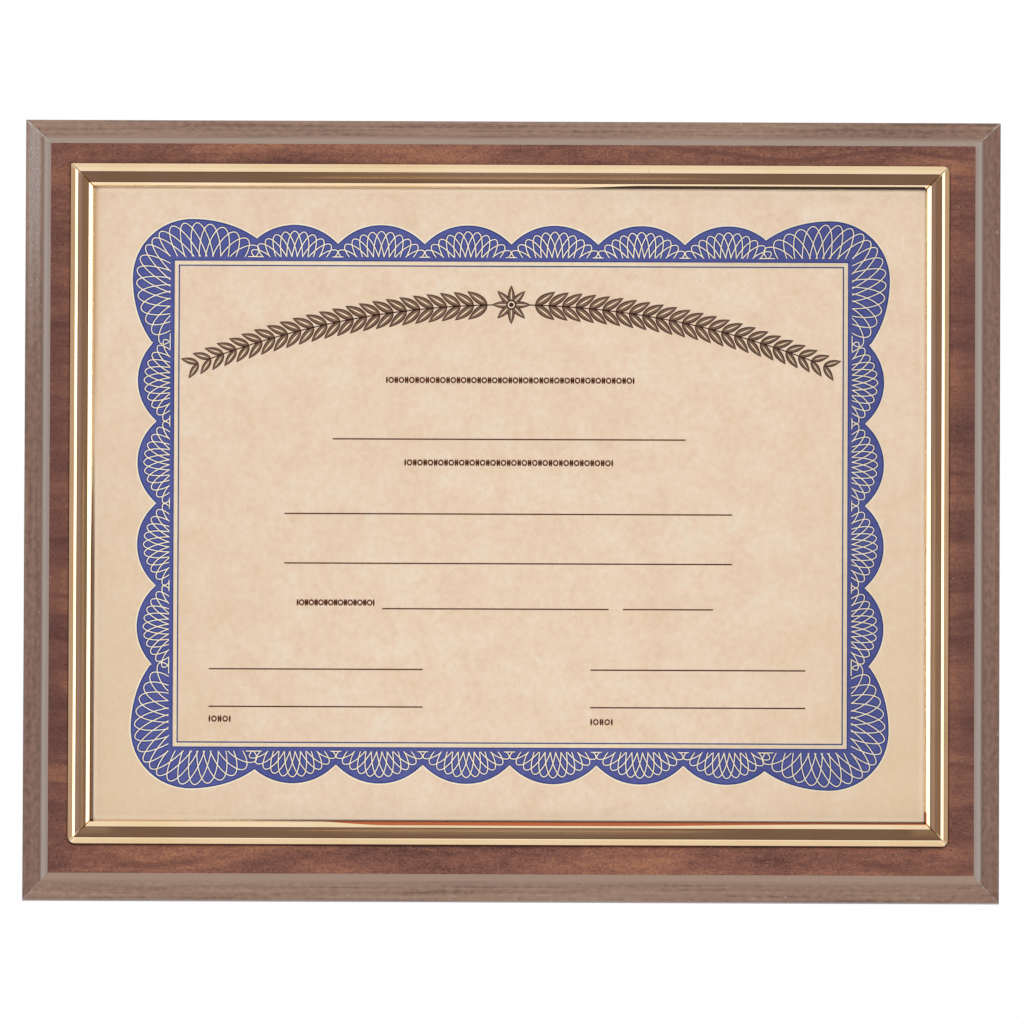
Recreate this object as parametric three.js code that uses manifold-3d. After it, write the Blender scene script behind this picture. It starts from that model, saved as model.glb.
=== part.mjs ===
// A slide-in certificate plaque: a cove-edged board that carries a mitred metal frame.
// The sheet and its clear cover slide in from above, between the top rail and the board.
// Millimetres, +Z up. The back lies on the plane y = 0, centred on the origin, and the front faces -Y.

import * as THREE from "three";
import { mergeVertices } from "three/addons/utils/BufferGeometryUtils.js";
import Module from "manifold-3d";

const wasm = await Module();
wasm.setup();

// Board: a wood-fibre core with a laminate on each face and a thin foil wrapped over its routed edge.
const boardWidth = 324;
const boardHeight = 260;
const coreThickness = 11.9;
const laminateThickness = 0.3;
const foilThickness = 0.3;
const glueLine = 0.1;
const foilMitreGap = 0.1;

// Routed edge, from the face outwards: a steep step, a hollow cove and a small round.
const stepRun = 2.1;
const stepDrop = 3.2;
const coveRun = 5.6;
const coveDrop = 3.2;
const coveHollow = 0.35;
const edgeRound = 0.8;

// Sheets that slide in.
const sheetWidth = 279.4;
const sheetHeight = 215.9;
const certificateThickness = 0.25;
const coverThickness = 1;
const sheetFaceGap = 0.1;
const sheetSideGap = 0.55;
const sheetSeatGap = 0.2;

// Frame rails. Insets run inwards from a rail's outer side, heights run forwards from the board's face.
const channelFloorInset = 5.7;
const lipReach = 2.3;
const lipEdgeThickness = 0.85;
const innerRoundRun = 1.1;
const innerRoundRise = 1.55;
const crestRise = 0.15;
const shoulderRun = 2.7;
const shoulderRise = 1.6;
const footRound = 0.5;
const outerWall = 2;
const webWall = 0.9;
const flangeThickness = 1;
const flangeReach = 12.3;
const topRailCover = 4.9;
const railMitreGap = 0.2;

// Where the frame sits, from the centre of the board.
const frameOffsetX = -1;
const frameOffsetZ = 1.3;

// Flat keys that join the rails inside their corners.
const keyLegLength = 20;
const keyThickness = 1;
const keyGap = 0.2;

// Countersunk screws through the flanges of the three fixed rails.
const bottomRailScrews = 3;
const sideRailScrews = 2;
const screwEndInset = 45;
const screwHeadRadius = 2;
const screwHeadHeight = 0.9;
const screwHeadSink = 0.05;
const screwShankRadius = 1;
const screwShankLength = 8;
const screwTipLength = 1.8;
const screwHoleGap = 0.2;
const recessLength = 2.2;
const recessWidth = 0.5;
const recessDepth = 0.5;

// Keyhole hangers cut into the back, one for each way up.
const keyholeEntryRadius = 5.5;
const keyholeNeckWidth = 5.2;
const keyholeNeckDepth = 3.2;
const keyholeDepth = 8;
const keyholeTravel = 12;
const keyholeEdgeDistance = 36;

// Fineness of the round stretches, and how far a cutter reaches past a surface.
const curveSteps = 4;
const roundSides = 24;
const overcut = 1;

// Sizes that follow from the ones above. Three face gaps part the flange, the two sheets and the lip.
const laminateStack = laminateThickness + glueLine;
const faceHeight = coreThickness + 2 * laminateStack;
const bevelWidth = stepRun + coveRun + edgeRound;
const railWidth = channelFloorInset + lipReach;
const faceGapCount = 3;
const slotDepth = certificateThickness + coverThickness + faceGapCount * sheetFaceGap;
const lipUnderside = flangeThickness + slotDepth;
const lipFront = lipUnderside + lipEdgeThickness;
const crestEdge = lipFront + innerRoundRise;
const webOuter = channelFloorInset - webWall;
const flangeEdge = channelFloorInset + flangeReach;
const screwInset = channelFloorInset + flangeReach / 2;
const frameWidth = sheetWidth + 2 * (sheetSideGap + channelFloorInset);
const frameHeight = channelFloorInset + sheetSeatGap + sheetHeight + topRailCover;
const sheetCentreZ = (channelFloorInset + sheetSeatGap - topRailCover) / 2;
const keyFloor = lipUnderside + keyGap;
const keyCavityTop = keyFloor + keyThickness + keyGap;

// The four sides in turn, each a quarter turn from the one before as seen from the front.
const sides = ["bottom", "right", "top", "left"];
const corners = ["bottom_left", "bottom_right", "top_right", "top_left"];
const quarterTurn = -Math.PI / 2;
const depthAxis = new THREE.Vector3(0, 1, 0);

const looks = {
  core: { color: 0x6f5138, roughness: 0.9, metalness: 0 },
  faceLaminate: { color: 0x87594a, roughness: 0.4, metalness: 0 },
  backLaminate: { color: 0x5a4032, roughness: 0.6, metalness: 0 },
  edgeFoil: { color: 0x8a6a5c, roughness: 0.45, metalness: 0 },
  rail: { color: 0xdcb878, roughness: 0.18, metalness: 1 },
  steel: { color: 0xb4b4b0, roughness: 0.35, metalness: 1 },
  paper: { color: 0xe5cdb2, roughness: 0.85, metalness: 0 },
  cover: { color: 0xf2f4f4, roughness: 0.05, metalness: 0, transparent: true, opacity: 0.2 },
};

function namedMesh(name, geometry, look) {
  const mesh = new THREE.Mesh(geometry, new THREE.MeshStandardMaterial(look));
  mesh.name = name;
  return mesh;
}

// Keeps only positions, merges shared corners and drops triangles that have shrunk to a line.
function weld(geometry) {
  const bare = geometry.clone();
  bare.deleteAttribute("normal");
  bare.deleteAttribute("uv");
  const merged = mergeVertices(bare);
  const index = merged.index.array;
  const kept = [];
  for (let i = 0; i < index.length; i += 3) {
    const [a, b, c] = [index[i], index[i + 1], index[i + 2]];
    if (a !== b && b !== c && c !== a) {
      kept.push(a, b, c);
    }
  }
  merged.setIndex(kept);
  return merged;
}

function toSolid(geometry) {
  const welded = weld(geometry);
  return new wasm.Manifold(new wasm.Mesh({
    numProp: 3,
    vertProperties: Float32Array.from(welded.attributes.position.array),
    triVerts: Uint32Array.from(welded.index.array),
  }));
}

function toGeometry(solid) {
  const mesh = solid.getMesh();
  const geometry = new THREE.BufferGeometry();
  geometry.setAttribute("position", new THREE.BufferAttribute(mesh.vertProperties, mesh.numProp));
  geometry.setIndex(Array.from(mesh.triVerts));
  return geometry;
}

function cut(geometry, cutters) {
  const start = toSolid(geometry);
  const result = cutters.reduce((solid, cutter) => solid.subtract(toSolid(cutter)), start);
  return toGeometry(result);
}

function geometryFrom(points, triangles) {
  const geometry = new THREE.BufferGeometry();
  geometry.setAttribute("position", new THREE.Float32BufferAttribute(points.flat(), 3));
  geometry.setIndex(triangles.flat());
  return geometry;
}

function point(x, y) {
  return new THREE.Vector2(x, y);
}

function bend(start, control, end) {
  return new THREE.QuadraticBezierCurve(start, control, end).getPoints(curveSteps);
}

// A solid through rectangles stacked from the back to the front. Each ring gives an inset from the
// board's outline and a height above the back.
function rectangleStack(rings) {
  const points = rings.flatMap(([inset, height]) => {
    const x = boardWidth / 2 - inset;
    const z = boardHeight / 2 - inset;
    return [[-x, -height, -z], [x, -height, -z], [x, -height, z], [-x, -height, z]];
  });
  const last = points.length - 4;
  const triangles = [[0, 2, 1], [0, 3, 2], [last, last + 1, last + 2], [last, last + 2, last + 3]];
  for (let ring = 0; ring < last; ring += 4) {
    for (let i = 0; i < 4; i += 1) {
      const near = ring + i;
      const next = ring + ((i + 1) % 4);
      triangles.push([near, next, next + 4], [near, next + 4, near + 4]);
    }
  }
  return geometryFrom(points, triangles);
}

// A straight length of one section along the bottom of a rectangle, mitred at both ends.
// The section gives insets from the rectangle's side and heights, anticlockwise.
function mitredStrip(section, halfLength, distance, mitreGap) {
  const count = section.length;
  const end = (sign) => section.map(({ x: inset, y: height }) => [
    sign * (halfLength - inset - mitreGap / 2),
    -height,
    inset - distance,
  ]);
  const triangles = [];
  for (let i = 0; i < count; i += 1) {
    const next = (i + 1) % count;
    triangles.push([i, next, next + count], [i, next + count, i + count]);
  }
  THREE.ShapeUtils.triangulateShape(section, []).forEach(([a, b, c]) => {
    triangles.push([c, b, a], [a + count, b + count, c + count]);
  });
  return geometryFrom([...end(-1), ...end(1)], triangles);
}

// Half the length of a side of a rectangle, and that side's distance from the centre.
function sideReach(side, width, height) {
  return side % 2 === 0 ? [width / 2, height / 2] : [height / 2, width / 2];
}

// The routed edge from the face to the back, as insets from the outline and drops below the face.
function edgeOutline() {
  const stepFoot = point(edgeRound + coveRun, stepDrop);
  const coveEnd = point(edgeRound, stepDrop + coveDrop);
  const chord = coveEnd.clone().sub(stepFoot);
  const intoBoard = point(chord.y, -chord.x).normalize();
  const coveControl = stepFoot.clone().add(coveEnd).multiplyScalar(0.5)
    .add(intoBoard.multiplyScalar(2 * coveHollow));
  const exit = coveEnd.clone().sub(coveControl);
  const roundTop = coveEnd.y + (edgeRound * exit.y) / -exit.x;
  const roundControl = point(0, roundTop);
  const cove = bend(stepFoot, coveControl, coveEnd);
  const round = bend(coveEnd, roundControl, point(0, roundTop + edgeRound));
  const trimmedTop = point(stepInset(laminateStack), laminateStack);
  return [trimmedTop, ...cove, ...round.slice(1), point(0, faceHeight)];
}

// Inset of the steep step at a drop below the face.
function stepInset(drop) {
  return bevelWidth - (stepRun * drop) / stepDrop;
}

// Moves an outline towards the inside of the board, with its two ends at the drops they had.
function insetOutline(outline, distance) {
  const lines = outline.slice(1).map((to, i) => {
    const from = outline[i];
    const direction = to.clone().sub(from).normalize();
    const inwards = point(direction.y, -direction.x).multiplyScalar(distance);
    return { start: from.clone().add(inwards), direction };
  });
  const level = ({ start, direction }, drop) => {
    return start.clone().addScaledVector(direction, (drop - start.y) / direction.y);
  };
  const crossing = (a, b) => {
    const along = b.start.clone().sub(a.start).cross(b.direction) / a.direction.cross(b.direction);
    return a.start.clone().addScaledVector(a.direction, along);
  };
  const inner = lines.slice(1).map((line, i) => crossing(lines[i], line));
  const first = level(lines[0], outline[0].y);
  const last = level(lines[lines.length - 1], outline[outline.length - 1].y);
  return [first, ...inner, last];
}

function heightsFromBack(outline) {
  return outline.map(({ x, y }) => point(x, faceHeight - y));
}

// A round-ended slot in the plane of the board, from the origin upwards, between two depths.
function slotCutter(radius, fromDepth, toDepth) {
  const outline = new THREE.Shape();
  outline.absarc(0, keyholeTravel, radius, 0, Math.PI);
  outline.absarc(0, 0, radius, Math.PI, 2 * Math.PI);
  const options = { depth: toDepth - fromDepth, bevelEnabled: false, curveSegments: roundSides / 2 };
  const geometry = new THREE.ExtrudeGeometry(outline, options);
  geometry.rotateX(Math.PI / 2);
  geometry.translate(0, -fromDepth, 0);
  return geometry;
}

// The cutters of one keyhole: the entry, the neck that the nail slides along and the wider space behind.
// The keyhole points upwards before it is turned.
function keyholeCutters(quarterTurns, fromCentre) {
  const entry = new THREE.CylinderGeometry(
    keyholeEntryRadius, keyholeEntryRadius, keyholeDepth + overcut, roundSides,
  );
  entry.translate(0, (overcut - keyholeDepth) / 2, 0);
  const neck = slotCutter(keyholeNeckWidth / 2, -overcut, keyholeNeckDepth + overcut);
  const space = slotCutter(keyholeEntryRadius, keyholeNeckDepth, keyholeDepth);
  return [entry, neck, space].map((cutter) => {
    cutter.translate(0, 0, fromCentre);
    return cutter.rotateY(quarterTurns * quarterTurn);
  });
}

// One keyhole points up and the other towards +X.
function allKeyholeCutters() {
  const turnsToRight = 3;
  const upright = keyholeCutters(0, boardHeight / 2 - keyholeEdgeDistance);
  const sideways = keyholeCutters(turnsToRight, boardWidth / 2 - keyholeEdgeDistance);
  return [...upright, ...sideways];
}

// Where the screws stand along one rail, before the rail is turned to its side.
function screwPlaces(side) {
  const [halfLength, distance] = sideReach(side, frameWidth, frameHeight);
  const reach = halfLength - screwEndInset;
  const count = sides[side] === "bottom" ? bottomRailScrews : sideRailScrews;
  return Array.from({ length: count }, (_, i) => {
    const along = -reach + (2 * reach * i) / (count - 1);
    return new THREE.Vector3(along, 0, screwInset - distance);
  });
}

function isScrewed(side) {
  return sides[side] !== "top";
}

// Straight holes for the screw shanks, in the board's own place.
function shankCutters(depth) {
  const places = sides.flatMap((_, side) => {
    if (!isScrewed(side)) {
      return [];
    }
    return screwPlaces(side).map((place) => place.applyAxisAngle(depthAxis, side * quarterTurn));
  });
  const radius = screwShankRadius + screwHoleGap;
  return places.map((place) => {
    const hole = new THREE.CylinderGeometry(radius, radius, depth + overcut, roundSides / 2);
    const middle = -faceHeight + (depth - overcut) / 2;
    return hole.translate(place.x + frameOffsetX, middle, place.z + frameOffsetZ);
  });
}

function boardCore() {
  const outline = heightsFromBack(insetOutline(edgeOutline(), foilThickness + glueLine));
  const back = outline[outline.length - 1];
  const rings = outline.slice(0, -1).reverse().map(({ x, y }) => [x, y]);
  const blank = rectangleStack([[back.x, laminateStack], ...rings]);
  const holeDepth = screwShankLength + screwHoleGap;
  return namedMesh("board_core", cut(blank, [...allKeyholeCutters(), ...shankCutters(holeDepth)]), looks.core);
}

function faceLaminate() {
  const blank = rectangleStack([
    [stepInset(laminateThickness), faceHeight - laminateThickness],
    [bevelWidth, faceHeight],
  ]);
  return namedMesh("face_laminate", cut(blank, shankCutters(laminateStack)), looks.faceLaminate);
}

function backLaminate() {
  const inset = foilThickness + glueLine;
  const blank = rectangleStack([[inset, 0], [inset, laminateThickness]]);
  return namedMesh("back_laminate", cut(blank, allKeyholeCutters()), looks.backLaminate);
}

function edgeFoils() {
  const outline = edgeOutline();
  const inner = insetOutline(outline, foilThickness);
  const section = heightsFromBack([...outline, ...inner.reverse()]);
  return sides.map((name, side) => {
    const [halfLength, distance] = sideReach(side, boardWidth, boardHeight);
    const strip = mitredStrip(section, halfLength, distance, foilMitreGap);
    const mesh = namedMesh(`edge_foil_${name}`, strip, looks.edgeFoil);
    mesh.rotation.y = side * quarterTurn;
    return mesh;
  });
}

// The front of every rail, from its outer wall over the crest to the edge of its lip.
function railFront() {
  const shoulderCorner = point(0, crestEdge - shoulderRise);
  const shoulderTop = point(shoulderRun, crestEdge);
  const upSlope = shoulderTop.clone().sub(shoulderCorner).normalize().multiplyScalar(footRound);
  const footStart = point(0, shoulderCorner.y - footRound);
  const footEnd = shoulderCorner.clone().add(upSlope);
  const crestEnd = point(railWidth - innerRoundRun, crestEdge);
  const crestControl = point((shoulderTop.x + crestEnd.x) / 2, crestEdge + 2 * crestRise);
  const crestSlope = (crestControl.y - crestEdge) / (crestControl.x - shoulderTop.x);
  const lipTop = point(railWidth, lipFront);
  const innerControl = point(railWidth, crestEdge - innerRoundRun * crestSlope);
  return [
    ...bend(footStart, shoulderCorner, footEnd),
    ...bend(shoulderTop, crestControl, crestEnd),
    ...bend(crestEnd, innerControl, lipTop).slice(1),
  ];
}

// A fixed rail holds the sheets in a channel and stands on a flange that lies under them.
function fixedRailSection() {
  return [
    point(0, 0),
    ...railFront(),
    point(railWidth, lipUnderside),
    point(channelFloorInset, lipUnderside),
    point(channelFloorInset, flangeThickness),
    point(flangeEdge, flangeThickness),
    point(flangeEdge, 0),
    point(webOuter, 0),
    point(webOuter, keyCavityTop),
    point(outerWall, keyCavityTop),
    point(outerWall, 0),
  ].reverse();
}

// The top rail stops short of the board, so that the sheets pass under it.
function openRailSection() {
  return [
    point(0, lipUnderside),
    ...railFront(),
    point(railWidth, lipUnderside),
    point(webOuter, lipUnderside),
    point(webOuter, keyCavityTop),
    point(outerWall, keyCavityTop),
    point(outerWall, lipUnderside),
  ].reverse();
}

// The outline of a screw turned about its own axis, with some room added all round.
function screwOutline(room) {
  const headTop = screwHeadSink - flangeThickness;
  const neck = headTop + screwHeadHeight;
  return { head: screwHeadRadius + room, shank: screwShankRadius + room, headTop, neck };
}

function countersinkCutter(place) {
  const { head, shank, headTop, neck } = screwOutline(screwHoleGap);
  const profile = [
    point(0, headTop - overcut),
    point(head, headTop - overcut),
    point(head, headTop),
    point(shank, neck),
    point(shank, overcut),
    point(0, overcut),
  ];
  return new THREE.LatheGeometry(profile, roundSides).translate(place.x, 0, place.z);
}

function rails() {
  return sides.map((name, side) => {
    const [halfLength, distance] = sideReach(side, frameWidth, frameHeight);
    const section = isScrewed(side) ? fixedRailSection() : openRailSection();
    const strip = mitredStrip(section, halfLength, distance, railMitreGap);
    const geometry = isScrewed(side) ? cut(strip, screwPlaces(side).map(countersinkCutter)) : strip;
    const mesh = namedMesh(`rail_${name}`, geometry, looks.rail);
    mesh.rotation.y = side * quarterTurn;
    return mesh;
  });
}

function railScrewGeometry() {
  const { head, shank, headTop, neck } = screwOutline(0);
  const profile = [
    point(0, headTop),
    point(head, headTop),
    point(shank, neck),
    point(shank, screwShankLength - screwTipLength),
    point(0, screwShankLength),
  ];
  const blank = new THREE.LatheGeometry(profile, roundSides);
  const recessCentre = headTop + (recessDepth - overcut) / 2;
  const across = new THREE.BoxGeometry(recessLength, recessDepth + overcut, recessWidth);
  const upright = new THREE.BoxGeometry(recessWidth, recessDepth + overcut, recessLength);
  return cut(blank, [across.translate(0, recessCentre, 0), upright.translate(0, recessCentre, 0)]);
}

function railScrews() {
  const geometry = railScrewGeometry();
  return sides.flatMap((name, side) => {
    if (!isScrewed(side)) {
      return [];
    }
    return screwPlaces(side).map((place, i) => {
      const mesh = namedMesh(`rail_screw_${name}_${i + 1}`, geometry, looks.steel);
      mesh.position.copy(place.applyAxisAngle(depthAxis, side * quarterTurn));
      return mesh;
    });
  });
}

function cornerKeys() {
  const inset = outerWall + keyGap;
  const legWidth = webOuter - outerWall - 2 * keyGap;
  const outline = new THREE.Shape([
    point(0, 0),
    point(keyLegLength, 0),
    point(keyLegLength, legWidth),
    point(legWidth, legWidth),
    point(legWidth, keyLegLength),
    point(0, keyLegLength),
  ]);
  const geometry = new THREE.ExtrudeGeometry(outline, { depth: keyThickness, bevelEnabled: false });
  geometry.rotateX(Math.PI / 2);
  return corners.map((name, corner) => {
    const mesh = namedMesh(`corner_key_${name}`, geometry, looks.steel);
    const signX = name.endsWith("left") ? -1 : 1;
    const signZ = name.startsWith("bottom") ? -1 : 1;
    mesh.rotation.y = corner * quarterTurn;
    mesh.position.set(signX * (frameWidth / 2 - inset), -keyFloor, signZ * (frameHeight / 2 - inset));
    return mesh;
  });
}

// A sheet of the size that the frame takes, with its back face at a height above the board's face.
function slidingSheet(name, thickness, backHeight, look) {
  const geometry = new THREE.BoxGeometry(sheetWidth, thickness, sheetHeight);
  const mesh = namedMesh(name, geometry, look);
  mesh.position.set(0, -backHeight - thickness / 2, sheetCentreZ);
  return mesh;
}

function slidingSheets() {
  const certificateBack = flangeThickness + sheetFaceGap;
  const coverBack = certificateBack + certificateThickness + sheetFaceGap;
  return [
    slidingSheet("certificate", certificateThickness, certificateBack, looks.paper),
    slidingSheet("clear_cover", coverThickness, coverBack, looks.cover),
  ];
}

const board = new THREE.Group();
board.add(boardCore(), faceLaminate(), backLaminate(), ...edgeFoils());

const frame = new THREE.Group();
frame.position.set(frameOffsetX, -faceHeight, frameOffsetZ);
frame.add(...rails(), ...cornerKeys(), ...railScrews(), ...slidingSheets());

const plaque = new THREE.Group();
plaque.add(board, frame);

export default plaque;
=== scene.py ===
# The looks of a slide-in certificate plaque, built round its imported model.
# Shapes are worked out in millimetres and put into the frame, which is in metres, when a mesh is made.
import math

import bmesh
import bpy
from mathutils import Matrix, Vector
from mathutils.geometry import tessellate_polygon


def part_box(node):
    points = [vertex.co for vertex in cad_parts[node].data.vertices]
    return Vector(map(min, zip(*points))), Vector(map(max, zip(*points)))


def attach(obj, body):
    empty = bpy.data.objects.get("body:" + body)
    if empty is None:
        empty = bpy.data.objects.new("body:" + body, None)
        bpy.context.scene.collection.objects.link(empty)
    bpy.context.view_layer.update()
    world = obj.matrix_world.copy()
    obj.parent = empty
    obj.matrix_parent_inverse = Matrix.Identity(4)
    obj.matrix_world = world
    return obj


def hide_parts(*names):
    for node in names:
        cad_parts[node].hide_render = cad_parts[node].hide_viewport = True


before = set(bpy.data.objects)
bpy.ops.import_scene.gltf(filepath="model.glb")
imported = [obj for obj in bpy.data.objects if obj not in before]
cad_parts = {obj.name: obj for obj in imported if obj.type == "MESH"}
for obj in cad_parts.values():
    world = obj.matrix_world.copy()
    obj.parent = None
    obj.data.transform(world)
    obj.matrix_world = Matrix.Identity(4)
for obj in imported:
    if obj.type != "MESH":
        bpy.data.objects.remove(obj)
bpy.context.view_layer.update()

bpy.context.scene.view_settings.view_transform = "Standard"

MM = 0.001
SIDES = ("bottom", "right", "top", "left")
WHITE = (1, 1, 1, 1)

# Routed edge of the board: insets from its outline, drops below its face.
FOIL_THICKNESS = 0.3
LAMINATE_STACK = 0.4
STEP_TOP_INSET = 8.5
STEP_FOOT = (6.4, 3.2)
COVE_CONTROL = (3.95, 5.41)
COVE_END = (0.8, 6.4)
COVE_STEPS = 14
ROUND_CONTROL = (0, 6.65)
ROUND_END_DROP = 7.45
ROUND_STEPS = 6
FOIL_MITRE_GAP = 0.1
FOIL_LAP = 0.03
FOIL_STATIONS = (0, 0.25, 0.6, 1.5)
FOIL_SHARP_ANGLE = 24
# The mitres run where a point is this much further aside than up: the board is wider than high.
UPRIGHTS_FROM = 32
# How far apart the maps of the four sides lie, in metres.
STRIP_STEP = 0.5

# Frame rails: insets from a rail's outer side, heights above the board's face.
SHOULDER_ROUND = 0.3
SHOULDER_STEPS = 4
SHOULDER_END_INSET = 1.63
CREST_RADIUS = 5.02
CREST_HEIGHT = 5.1
CREST_INSET = 4.25
CREST_END_INSET = 7.45
CREST_STEPS = 24
LIP_CORNER = (7.9, 3.5)
LIP_FRONT = (8, 2.95)
LIP_STEPS = 9
LIP_UNDERSIDE = 2.55
CHANNEL_FLOOR_INSET = 5.7
FLANGE_THICKNESS = 1
FLANGE_EDGE = 18
WEB_INSET = 4.8
OUTER_WALL = 2
KEY_CAVITY_TOP = 3.95
RAIL_MITRE_GAP = 0.2
RAIL_STATIONS = (0.6, 0.9, 1.2, 1.5, 1.9, 2.4, 3, 6)
RAIL_SHARP_ANGLE = 12.5
ROUNDED_CORNER = 2.7
CLIPPED_CORNER = 1.5
# The burrs at the mitres, as how far they reach from the end and how far the front is pressed down.
LEVEL_RAIL_BURR = (0.12, 0.1)
UPRIGHT_RAIL_BURR = (0.42, 0.26)

# Countersunk holes of the rail screws, with how far the cutter stands past both faces.
HOLE_HEAD_RADIUS = 2.2
HOLE_SHANK_RADIUS = 1.2
HOLE_HEAD_HEIGHT = 0.95
HOLE_NECK_HEIGHT = 0.05
HOLE_SIDES = 32
OVERCUT = 1

# Inks, each as its dark and its light shade.
INKS = {
    "blue_ink": ((80, 87, 150), (92, 98, 160)),
    "deep_blue_ink": ((34, 56, 128), (46, 66, 138)),
    "cream_ink": ((252, 235, 200), (255, 245, 218)),
    "pale_ink": ((240, 219, 184), (245, 228, 196)),
    "tan_ink": ((122, 92, 74), (134, 104, 84)),
    "brown_ink": ((62, 36, 34), (76, 46, 42)),
    "line_ink": ((82, 40, 22), (96, 50, 30)),
}
INK_THICKNESS = 0.012
INK_LIFT = 0.006
MATT = {"Specular IOR Level": 0.12}

# Print on the certificate, about its own centre: x to the right, y up. Pairs are for the level
# sides and for the upright ones.
PRINT_OFFSET = (0.5, -0.43)
BORDER_HALVES = (111.75, 80.9)
BORDER_BASE = 1.42
SCALLOP_COUNTS = (6, 4)
SCALLOP_PITCHES = (28.8, 27.36)
SCALLOP_PEAK = 12.32
SCALLOP_DROP = 6.3
SCALLOP_STEPS = 24
LOBE_CENTRE = 5.82
LOBE_RADIUS = 19.97
LOBE_REACH = 29.1
LOBE_END = 27.26
INNER_BAND = 1.95
INNER_RULE_INSET = 1.5
# Steps along the round part and along the long part of a corner's lobe.
LOBE_STEPS = (12, 14)

# Fans of loops: angles in radians, the rest in millimetres.
FAN_LOOPS = 5
FAN_SPREAD = 16.19
FAN_TURN = 0.19
FAN_HEIGHT = 8.58
FAN_FEET_STEP = 1.762
FAN_FEET_GROWTH = 0.0006
FAN_TIP_DROP = 0.00017
FAN_LOOP_HALF_WIDTH = 2.626
FAN_LOOP_GROWTH = 0.02
CORNER_LOOPS = 9
CORNER_TIP_RADIUS = 18.52
CORNER_TIP_REACH = 24.93
CORNER_TURN = 0.2156
CORNER_SIDE_TURN = 0.1735
CORNER_FEET_MIDDLE = 12.06
CORNER_FEET_STEP = 2.294
CORNER_FEET_GROWTH = 0.0332
CORNER_UPRIGHT_LOOP = 5.2
CORNER_NARROW_LOOP = 4.2
CORNER_LOOP_HALF_WIDTH = 3.457
CORNER_LOOP_GROWTH = 0.166
DIAGONAL_FOOT = 1.2
DIAGONAL_HALF_WIDTH = 2.5
# The short level lines where two fans meet, the last ones at their place from the corner.
KNOT_BASE = 1.8
CORNER_KNOT_BASE = 2.6
CORNER_KNOT_PLACE = 26.9
KNOT_RISE = 0.02

# Widths of the lines of ink.
LOOP_LINE = 0.34
LOOP_SHADE = 0.95
EDGE_LINE = 0.44
EDGE_SHADE = 0.4
RULE_LINE = 0.4
WRITING_LINE = 0.45
STEM_LINE = 0.4
INNER_RULE_LINE = 0.58

# Loops that cross lie in turn on one of these levels, so that none share a face.
LOOP_STEP = 0.0008
LOOP_LEVELS = 6
LOOP_POINTS = 22

# Ruled lines to write on, as their left end, right end and height.
RULED_LINES = (
    (-59.1, 58.0, 21.7),
    (-75.0, 73.6, -3.2),
    (-75.0, 73.6, -19.7),
    (-42.4, 32.7, -34.8),
    (37.4, 67.3, -34.8),
    (-99.9, -28.9, -55.0),
    (26.7, 98.0, -55.0),
    (-99.9, -28.9, -67.5),
    (26.7, 98.0, -67.5),
)
# Short rows of bead and reel, as their left end, right end and height.
ORNAMENT_ROWS = (
    (-41.5, 41.0, 41.4),
    (-35.3, 34.0, 13.9),
    (-70.8, -45.0, -32.8),
    (-99.9, -92.5, -71.6),
    (26.7, 34.2, -72.3),
)
ROW_PITCH = 3.4
BEAD_RADIUS = 0.95
BEAD_HOLE_RADIUS = 0.5
BEAD_STRETCH = 1.1
REEL_RADIUS = 1.15
REEL_SQUEEZE = 0.28
REEL_SHARE = 0.41

# Leaf garland over the ruled lines. Its angles are in radians, about the centre of its arch.
GARLAND_RADIUS = 281
GARLAND_TOP = 66.6
GARLAND_START = 0.012
GARLAND_HALF_ANGLE = 0.366
GARLAND_STEPS = 23
GARLAND_TAPER = 0.25
STEM_STEPS = 80
LEAF = (8.2, 3.0)
LEAF_FILL = (7.2, 2.2)
LEAF_FILL_START = 0.45
LEAF_RIB = (5.2, 0.4)
LEAF_RIB_START = 1.4
LEAF_SPREAD = 0.62
BERRY_TURN = 0.007
BERRY_RISE = 1.5
BERRY_RADIUS = 0.5
ROSETTE_PETALS = 8
PETAL_SIZE = 0.8
EYE_RADIUS = 1.7
EYE_RING = (1.15, 0.8)

# Camera: degrees off the plaque's own axis, and the width that its picture takes in, in metres.
CAMERA_DISTANCE = 10.0
CAMERA_FROM_BELOW = 5.0
CAMERA_ROLL = 0.22
CAMERA_TARGET = (0, -0.004, -0.0002)
PICTURE_WIDTH = 0.3401
SENSOR = 36
FLOOR_DROP = 1.0
FLOOR_REACH = 12

# Lamps, as place, size and power.
KEY_SOFTBOX = ((-0.15, -2.35, 0.5), (0.9, 0.9), 25.6)
FILL_SOFTBOX = ((0.45, -2.4, 0.05), (0.9, 0.9), 12.2)
MODELLING_LAMP = ((-0.0055, -0.75, 0.014), (0.11, 0.128), 0.025)
WARM = (1, 0.8, 0.5)


def srgb(red, green, blue):
    """An 8-bit colour as linear red, green, blue and alpha."""
    shares = (value / 255 for value in (red, green, blue))
    return (*(s / 12.92 if s <= 0.04045 else ((s + 0.055) / 1.055) ** 2.4 for s in shares), 1.0)


def joined_by(operation, swapped=False):
    """A method that joins a wire to another value by a Math node."""
    def join(self, other):
        return self.plan.math(operation, *((other, self) if swapped else (self, other)))
    return join


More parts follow.
